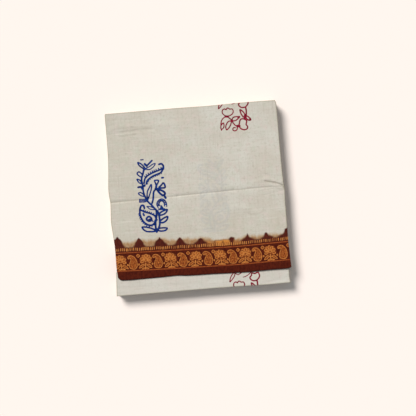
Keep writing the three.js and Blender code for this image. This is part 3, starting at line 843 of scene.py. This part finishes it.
# The top. The outer ply runs from the border to the far fold, where it turns under. It bears a blue sprig, a
# crimson one cut by the fold, the faint ghost of one on the ply below, the border's temples at its near edge,
# and the store crease across its middle.
LINE_X = [-142, -110, -80, -50, -20, 10, 40, 65, 90, 115, 144]
LINE_Y = [-108.2, -109.0, -109.7, -110.4, -110.9, -111.4, -111.8, -112.0, -111.5, -110.9, -110.3]
TEMPLES = [
    [(-143, -76), (-143, -60), (-140, -57.5), (-136.5, -55.5), (-133.5, -52), (-131, -55), (-128.5, -57.5),
     (-126.5, -61), (-125, -65.5), (-122, -70), (-120, -76)],
    [(-112, -76), (-110, -72), (-107.2, -68.5), (-105.5, -65), (-102.6, -60.8), (-100.6, -57.8), (-99, -56.4),
     (-97.4, -57.8), (-94.6, -60.8), (-92.2, -64.5), (-90.4, -68.5), (-87, -71.5), (-84, -76)],
    [(-76.5, -77), (-75.5, -71.5), (-73.5, -66.5), (-70.5, -63), (-67.3, -60.5), (-65.3, -58), (-63.3, -60.5),
     (-60.5, -63), (-57.5, -66.5), (-54.5, -69.5), (-52, -72.5), (-51.5, -77)],
    [(-47, -76), (-44, -72.4), (-40, -69.6), (-38.2, -66.4), (-36, -63.6), (-34.2, -61.8), (-32.7, -60.6),
     (-31.2, -61.8), (-29.6, -63.6), (-27.2, -66.4), (-25, -69.6), (-21.6, -72.4), (-19.5, -77)],
    [(-12, -77), (-9, -71), (-5, -69), (-2.5, -65.8), (1, -64.5), (4, -66), (6, -69), (9.5, -71),
     (12, -74), (13, -78)],
    [(21.8, -79), (22.8, -73.5), (23.6, -71), (24.4, -73.5), (24.8, -79)],
    [(33, -79), (34.6, -75.5), (36.6, -72), (38.4, -75), (40, -79)],
    [(47, -80), (47.6, -73.5), (46.4, -69.6), (49.4, -66.6), (52.6, -66.8), (55.6, -68.6), (54.2, -74),
     (55, -80)],
    [(66, -78), (68, -72), (73, -69), (75.5, -66), (77, -62.5), (78.6, -66), (80, -68.6), (84, -70.5),
     (88, -73), (92, -78)],
    [(97, -77), (99, -72), (103, -69.5), (105, -65), (107, -63.2), (109.5, -65), (112, -68.5), (117, -70),
     (119, -73), (117, -77)],
    [(122, -77), (126, -71.5), (132, -68.5), (135.8, -66.5), (137.4, -62.5), (139, -59.5), (146, -60.5),
     (146, -77)],
]
FINE_LINES = [0.2, 29.5]
FINE_LINE_HALF = 0.8
BAND_TO = 32.4
BEHIND_TO = 38.6
GOLDEN_AT = 40
BLEED_TO = 52.5
BORDER_SLOPE = -0.007
SQUARE_AGAIN = 19
TICK_PITCH = 3.05
TICK_HALF_WIDTH = 0.66
TICK_HEIGHT = 34.6
TICK_HALF_LENGTH = 2.5


def band_height(x, y):
    """Height above the border's lower fine line, which bows a little, as a hand-set print does."""
    return y - np.interp(x, LINE_X, LINE_Y)


def border_dyes(mesh, x, y):
    """Keeps the border's dyes at each point: maroon, the rust of its lines, and the tan that bled upwards."""
    height = band_height(x, y)
    peaks = np.full(x.shape, 12.0)
    near = y < -45
    for outline in TEMPLES:
        run = smooth_run(outline, True)
        peaks[near] = np.minimum(peaks[near], from_patch(x[near], y[near], run))
    foot = 3.4 + 4.6 * np.clip((46 - height) / 8, 0, 1)
    temple = np.clip(0.5 - peaks / foot, 0, 1)
    golden = np.exp(-(((x - GOLDEN_AT) / 34) ** 2))
    behind = np.clip(0.5 - (height - BEHIND_TO) / 4.4, 0, 1) * (0.56 + 0.34 * np.clip(1 - peaks / 9, 0, 1))
    behind *= 1 - 0.45 * golden
    band = np.clip(0.5 - (height - BAND_TO) / 1.4, 0, 1)
    keep_number(mesh, "maroon", np.maximum(np.maximum(temple, band), behind))
    lines = np.minimum(np.abs(height - FINE_LINES[0]), np.abs(height - FINE_LINES[1])) - FINE_LINE_HALF
    keep_number(mesh, "rust", np.clip(0.5 - lines / 1.2, 0, 1))
    uneven = 1.0 * np.sin(x / 13 + 0.8) + 1.1 * np.sin(x / 5.7) + 0.6 * np.sin(x / 1.9)
    reach = BLEED_TO + uneven - 7.0 * golden - 4.5 * np.clip((x - 68) / 20, 0, 1)
    fade = np.minimum(np.clip((reach - height) / 13, 0, 1), 0.58 + 0.5 * golden) * (height > 30)
    gold_fade = 1.05 * golden * np.clip((44.5 + uneven / 2 - height) / 4.5, 0, 1) * (height > 30)
    fade = np.maximum(fade, gold_fade)
    halo = np.clip(1 - peaks / 7.0, 0, 1) * np.clip((50 - height) / 10, 0, 1) * 0.5
    keep_number(mesh, "tan", np.clip(np.maximum(fade, halo), 0, 1))


def dyes_over(tree, ground, cloth):
    """The border's dyes on the ground: the bleed, the maroon, then the rust lines and row."""
    amounts = {}
    for name in ("tan", "rust", "maroon"):
        amounts[name] = kept(tree, name)
    cloud = speckle(tree, cloth, 320.0, 3.0, (1.0, 0.5, 1.0))
    wobble = sums(tree, "MULTIPLY", sums(tree, "SUBTRACT", cloud, 0.5), 0.5)
    spread = sums(tree, "ADD", amounts["tan"], wobble)
    face = over(tree, ease(tree, spread, 0.05, 0.6), ground, colour(174, 140, 102))
    face = veil(tree, face, ease(tree, spread, 0.4, 0.74), 0.62, (138, 84, 42))
    golden = over(tree, ease(tree, cloud, 0.35, 0.7), colour(212, 138, 56), colour(190, 114, 44))
    face = over(tree, ease(tree, spread, 0.58, 1.1), face, golden)
    deep = over(tree, ease(tree, cloud, 0.3, 0.7), colour(64, 14, 3), colour(86, 27, 9))
    edge = sums(tree, "ADD", amounts["maroon"], sums(tree, "MULTIPLY", wobble, 0.5))
    face = over(tree, ease(tree, edge, 0.16, 0.8), face, deep)
    rusty = over(tree, ease(tree, cloud, 0.35, 0.7), colour(160, 82, 36), colour(128, 54, 22))
    return over(tree, ease(tree, amounts["rust"], 0.2, 0.9), face, rusty)


def gold_over(tree, ground, cloth):
    """The border's ochre figures and ticks, woven in fine ribs, with painted highlights where the ribs would
    catch the light unevenly.
    """
    cloud = speckle(tree, cloth, 420.0, 3.0)
    fine = speckle(tree, cloth, 1000.0, 2.0, (1.0, 0.6, 1.0))
    pit = speckle(tree, cloth, 620.0, 1.0)
    painted_glint = speckle(tree, cloth, 520.0, 1.0)
    ribs = add_node(tree, "ShaderNodeTexWave", {"Vector": cloth, "Scale": 240.0, "Distortion": 1.2},
                    wave_type="BANDS", bands_direction="DIAGONAL").outputs["Fac"]
    ragged = sums(tree, "MULTIPLY", sums(tree, "SUBTRACT", cloud, 0.5), 0.3)
    edge = sums(tree, "ADD", kept(tree, "gold"), ragged)
    ochre = over(tree, ease(tree, cloud, 0.35, 0.68), colour(120, 50, 18), colour(182, 98, 38))
    for pattern, low, high, most, tone in (
        (ribs, 0.3, 0.9, 0.35, (112, 48, 16)),
        (fine, 0.5, 0.7, 0.45, (202, 120, 52)),
        (pit, 0.52, 0.64, 0.7, (70, 20, 6)),
        # painted highlight: bright glints on the ochre
        (painted_glint, 0.57, 0.7, 0.6, (226, 142, 66)),
    ):
        ochre = veil(tree, ochre, ease(tree, pattern, low, high), most, tone)
    ochre = over(tree, kept(tree, "bright"), ochre, colour(234, 156, 78))
    return over(tree, ease(tree, edge, 0.26, 0.76), ground, ochre)


def top_cotton_finish():
    finish = cotton_finish.copy()
    finish.name = "printed_cotton_with_dyed_edge"
    tree = finish.node_tree
    surface = tree.nodes["Principled BSDF"]
    cloth = add_node(tree, "ShaderNodeUVMap", uv_map="cloth").outputs[0]
    plain = surface.inputs["Base Color"].links[0].from_socket
    dyed = gold_over(tree, dyes_over(tree, plain, cloth), cloth)
    tree.links.new(dyed, surface.inputs["Base Color"])
    return finish


def tick_marks(x, height):
    """How much gold the upright ticks put at each point. They are uneven in place and strength."""
    number = np.floor(x / TICK_PITCH)
    middle = (number + 0.5 + 0.07 * np.sin(number * 2.3)) * TICK_PITCH
    strength = 0.86 + 0.14 * np.sin(number * 0.37 + 0.6) * np.cos(number * 0.23)
    aside = np.abs(x - middle) - TICK_HALF_WIDTH
    above = np.abs(height - TICK_HEIGHT - 0.4 * np.sin(number)) - TICK_HALF_LENGTH
    return np.clip(0.5 - np.maximum(aside, above) / 0.9, 0, 1) * strength


def border_skew(x, y):
    """The border's upper line runs a little out of square, and the cloth beyond it comes back to square."""
    return BORDER_SLOPE * x * np.clip((BORDER_TOP + SQUARE_AGAIN - y) / SQUARE_AGAIN, 0, 1)


def top_along(y):
    return y - SELVEDGE


def on_top(y):
    return TOP + 0.0 * y


top_across = spaced(LEFT_SIDE + ROLL, RIGHT_SIDE - ROLL, 1.2, 0.78, [(-97, -48), (44, 98)])
top_level = np.concatenate([
    spaced(BORDER_TOP, -46.0, 0.8)[:-1],
    spaced(-46.0, FAR_FOLD - ROLL, 1.5, 0.8, [(-50, 75), (102, 150)]),
])
top_mesh, top_x, top_y = lay_sheet("top_cloth", UPPER_SIDES, turned_edges(top_across, True, True),
                                   turned_edges(top_level, False, True), top_along, on_top, 1, border_skew)
skewed_y = top_y + border_skew(top_x, top_y)
border_dyes(top_mesh, top_x, skewed_y)
top_ticks = tick_marks(top_x, band_height(top_x, skewed_y))
keep_number(top_mesh, "gold", top_ticks)
keep_number(top_mesh, "bright", top_ticks * 0.95)
top_cloth = show(top_mesh)
top_cloth.data.materials.append(top_cotton_finish())
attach(top_cloth, "root")
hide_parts("top_stretch")


# The border. The last 44 mm of the same cloth, dyed rust and maroon, with a row of ochre paisleys and
# flowers between two fine lines, a row of ticks above, and a plain maroon band down to the selvedge. Its
# near corners are rounded by handling, and the right one stands up a little.
PAISLEY_AT = [-111, -70.5, -30, 11, 51, 91, 132.5]
FLOWER_AT = [-131, -90.5, -50, -9.5, 31, 71, 111.5]
PAISLEY = [(-1.5, 2.2), (3, 2.2), (6.2, 5.4), (7.2, 11), (5.8, 17.5), (2.4, 22.6), (-2, 25), (-6.4, 24.6),
           (-8.8, 21.8), (-7.8, 19.2), (-5.4, 19), (-4.2, 20.2), (-3.8, 17.2), (-5.6, 13.5), (-7, 8),
           (-5.6, 4)]
PAISLEY_LINES = [
    [(-1.2, 4.2), (2.6, 4.2), (4.6, 6.6), (5.3, 11.2), (4, 16.6), (1, 20.9), (-2.2, 22.9), (-5.6, 22.6)],
    [(-1.2, 4.2), (-4.2, 5.6), (-5.1, 9), (-3.6, 13.2), (-2, 17.5)],
    [(0.2, 7), (2.4, 10), (1.4, 14.4), (-1.6, 11), (0.2, 7)],
    [(0.4, 15.5), (0.2, 19.5)],
]
PETAL = [(0, 2.0), (1.7, 4.4), (2.5, 7.4), (0, 10.0), (-2.5, 7.4), (-1.7, 4.4)]
PETAL_TURNS = [-112, -72, -36, 0, 36, 72, 112]
FLOWER_HEART = (0.0, 16.4)
HEART_AND_STEM = [
    [(-2.4, 14.6), (-2.8, 17), (0, 19), (2.8, 17), (2.4, 14.6), (0, 13.4)],
    [(-0.7, 1.6), (-0.9, 6), (-0.8, 11.6), (0.8, 11.6), (0.9, 6), (0.7, 1.6)],
]
LEAVES = [
    [(1.4, 8.4), (4.6, 10.2), (8.8, 7.8), (11.0, 3.4), (7.0, 3.6), (3.8, 5.8)],
    [(1.3, 4.4), (3.8, 4.2), (6.2, 1.9), (3.2, 1.3), (1.2, 1.9)],
    [(9.4, 9.8), (11.0, 11.4), (12.6, 9.6), (11.0, 7.8)],
]
LEAF_LINE = [(3.4, 8.2), (7.0, 6.8), (9.6, 4.6)]
HEART_LINE = [(-1.2, 15.6), (1.2, 15.6)]
LEANS = [-7, 6, -5, 9, -8, 5, -4]
LEAN_ABOUT = 13
BLOOM = [(-6.4, 9.6), (-9.8, 12.6), (-10.2, 18), (-8.2, 23), (-4.4, 25.8), (0, 26.4), (4.4, 25.8), (8.2, 23),
         (10.2, 18), (9.8, 12.6), (6.4, 9.6), (0, 8.8)]
DIAMOND = [(8.8, 26.8), (11.9, 23.8), (8.8, 20.6), (5.9, 23.8)]
DIAMOND_LINES = [[(8.8, 25.4), (8.8, 22.2)], [(7.2, 23.8), (10.4, 23.8)]]
VEIN = 0.7
LIFT = 0.9
LIFT_FROM = 70
LIFT_RUN = 70
HEM = 0.2


def mirrored(outline):
    return [(-x, y) for x, y in outline]


def turned_petal(turn):
    """A petal, turned by some degrees about the flower's heart."""
    along_x, along_y = math.cos(math.radians(turn)), math.sin(math.radians(turn))
    return [(FLOWER_HEART[0] + x * along_x + y * along_y,
             FLOWER_HEART[1] + y * along_x - x * along_y) for x, y in PETAL]


def border_figures(x, height):
    """How much ochre the border's figures put at each point, and how much of it stands out bright."""
    shapes, veins, bodies, drops = [np.full(x.shape, 9.0) for _ in range(4)]
    flower = [turned_petal(turn) for turn in PETAL_TURNS] + HEART_AND_STEM + LEAVES
    flower += [mirrored(leaf) for leaf in LEAVES]
    flower_lines = [LEAF_LINE, mirrored(LEAF_LINE), HEART_LINE]

    def add(at, outlines, lines, lean):
        near = (np.abs(x - at) < 15) & (height > 0) & (height < 29)
        up = height[near]
        off = x[near] - at - math.tan(math.radians(lean)) * (up - LEAN_ABOUT)
        for outline in outlines:
            shapes[near] = np.minimum(shapes[near], from_patch(off, up, smooth_run(outline, True)))
        for line in lines:
            veins[near] = np.minimum(veins[near], from_line(off, up, smooth_run(line, False), VEIN))

    for at in PAISLEY_AT:
        add(at, [PAISLEY, DIAMOND], PAISLEY_LINES + DIAMOND_LINES, 0)
        drops = np.minimum(drops, from_patch(x - at, height, smooth_run(PAISLEY, True)))
    for at, lean in zip(FLOWER_AT, LEANS):
        add(at, flower, flower_lines, lean)
        bodies = np.minimum(bodies, from_patch(x - at, height, smooth_run(BLOOM, True)))
    beads = 0.5 + 0.5 * np.sin(x * 2.4 + 1.7 * np.sin(height * 0.7)) * np.sin(height * 2.4)
    gold = np.clip(0.55 - shapes / 0.9, 0, 1) * (1 - 0.75 * np.clip(0.5 - veins / 0.8, 0, 1))
    ring = np.clip(1 - np.abs(drops - 1.5) / 0.6, 0, 1) * beads
    inside = (height > 1.2) & (height < 27.4)
    gold = np.maximum(np.maximum(gold, 0.48 * np.clip(0.5 - bodies, 0, 1)), 0.7 * ring * inside)
    rim = np.clip(1 - np.abs(shapes + 0.6) / 0.6, 0, 1) * (0.3 + 0.5 * beads)
    return gold, np.clip(rim, 0, 1)


def border_mesh():
    inner = spaced(LEFT_SIDE + ROLL, RIGHT_SIDE - ROLL, 0.42)
    place, roll, tuck, side = turned_edges(inner, True, True)
    front = np.linspace(math.pi, 0, 6)
    rows = np.concatenate([[0.0], np.zeros(5), spaced(0, BORDER_TOP - SELVEDGE, 0.45)])
    rows = rows / (BORDER_TOP - SELVEDGE)
    front_roll = np.concatenate([[math.pi], front[:-1], np.zeros(len(rows) - 6)])
    front_tuck = np.concatenate([[1.8], np.zeros(len(rows) - 1)])
    mesh = new_grid("border_cloth", len(place), len(rows))
    column, row = read_grid(mesh, len(place), len(rows))
    share = rows[row]
    level = SELVEDGE + (BORDER_TOP - SELVEDGE) * share
    x = to_sides(UPPER_SIDES, place[column], level)
    wave = 0.3 * np.sin(x / 29 + 0.7) + 0.14 * np.sin(x / 8.3)
    near = selvedge_at(x) + wave
    y = near + (BORDER_TOP + BORDER_SLOPE * x - near) * share
    lift = LIFT * np.clip((x - LIFT_FROM) / LIFT_RUN, 0, 2) ** 2 * (1 - share) - 0.25 * (1 - share) ** 6
    fall = ROLL * (1 - np.cos(roll[column])) + HEM * (1 - np.cos(front_roll[row]))
    z = TOP + relief(x, y - SELVEDGE) * np.clip(share * 3, 0.25, 1) * (roll[column] == 0) + lift - fall
    turned_x = x + side[column] * (ROLL * np.sin(roll[column]) - tuck[column])
    turned_y = y - HEM * np.sin(front_roll[row]) + front_tuck[row]
    put_points(mesh, turned_x, turned_y, z)
    keep_cloth_place(mesh, x + side[column] * (ROLL * roll[column] + tuck[column]), y - SELVEDGE)
    height = band_height(x, y)
    border_dyes(mesh, x, y)
    figures, rims = border_figures(x, height)
    ticks = tick_marks(x, height)
    keep_number(mesh, "gold", np.maximum(figures, ticks))
    keep_number(mesh, "bright", np.maximum(rims, ticks * 0.95))
    keep_number(mesh, "edge", np.clip(1 - (y - near) / 2.5, 0, 1))
    return mesh


def border_finish():
    finish, tree = new_finish("dyed_border")
    cloth = add_node(tree, "ShaderNodeUVMap", uv_map="cloth").outputs[0]
    height, slubs = weave(tree, cloth)
    face = dyes_over(tree, off_white(tree, cloth, slubs), cloth)
    face = gold_over(tree, face, cloth)
    face = veil(tree, face, kept(tree, "edge"), 0.7, (38, 9, 5))
    finish_cloth(tree, face, height, 0.5, 0.015, 0.12)
    return finish


border_cloth = show(border_mesh())
border_cloth.data.materials.append(border_finish())
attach(border_cloth, "root")
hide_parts("top_border")


# The studio. The bundle lies on a plain pale floor under one large soft light from the upper left and an
# even fill, and the camera looks straight down on it, turned a little, as in the photograph.
FLOOR_SIZE = 4.0
FLOOR_BELOW = 0.0002
FLOOR_TONE = (0.975, 0.855, 0.778, 1)
floor_grid = bmesh.new()
bmesh.ops.create_grid(floor_grid, x_segments=1, y_segments=1, size=FLOOR_SIZE / 2)
bmesh.ops.translate(floor_grid, verts=floor_grid.verts, vec=(0, 0, -FLOOR_BELOW))
floor_mesh = bpy.data.meshes.new("floor")
floor_grid.to_mesh(floor_mesh)
floor_grid.free()
floor = bpy.data.objects.new("floor", floor_mesh)
bpy.context.scene.collection.objects.link(floor)
paper, paper_tree = new_finish("pale_floor")
paper_surface = paper_tree.nodes["Principled BSDF"]
paper_surface.inputs["Base Color"].default_value = FLOOR_TONE
paper_surface.inputs["Roughness"].default_value = 1.0
paper_surface.inputs["Specular IOR Level"].default_value = 0.0
floor_mesh.materials.append(paper)

TURN = math.radians(-4.4)
RIGHTWARD = np.array([math.cos(TURN), math.sin(TURN)])
UPWARD = np.array([-math.sin(TURN), math.cos(TURN)])
KEY_STRENGTH = 3.58
KEY_SPREAD = math.radians(24)
KEY_RISE = math.radians(45)
KEY_WAY = -0.64 * RIGHTWARD + 0.77 * UPWARD
FILL_TONE = (0.89, 1.0, 1.08, 1)
FILL_STRENGTH = 0.28
key_data = bpy.data.lights.new("key", "SUN")
key_data.energy = KEY_STRENGTH
key_data.angle = KEY_SPREAD
key = bpy.data.objects.new("key", key_data)
key.rotation_euler = (math.pi / 2 - KEY_RISE, 0, math.atan2(KEY_WAY[1], KEY_WAY[0]) + math.pi / 2)
bpy.context.scene.collection.objects.link(key)
world = bpy.data.worlds.new("fill")
world.use_nodes = True
world.node_tree.nodes["Background"].inputs["Color"].default_value = FILL_TONE
world.node_tree.nodes["Background"].inputs["Strength"].default_value = FILL_STRENGTH
bpy.context.scene.world = world
bpy.context.scene.view_settings.view_transform = "Standard"

MM_PER_PIXEL = 1.62
PIXELS = 416
LENS = 100
SENSOR = 36
camera_data = bpy.data.cameras.new("camera")
camera_data.lens = LENS
camera_data.sensor_width = SENSOR
camera = bpy.data.objects.new("camera", camera_data)
bpy.context.scene.collection.objects.link(camera)
aside = (11.1 * RIGHTWARD - 9.6 * UPWARD) * MM_PER_PIXEL
distance = PIXELS * MM_PER_PIXEL * LENS / SENSOR
camera.location = ((aside[0] + SHIFT_X) * MM, (aside[1] + SHIFT_Y) * MM, (TOP + distance) * MM)
camera.rotation_euler = (0, 0, TURN)
bpy.context.scene.camera = camera
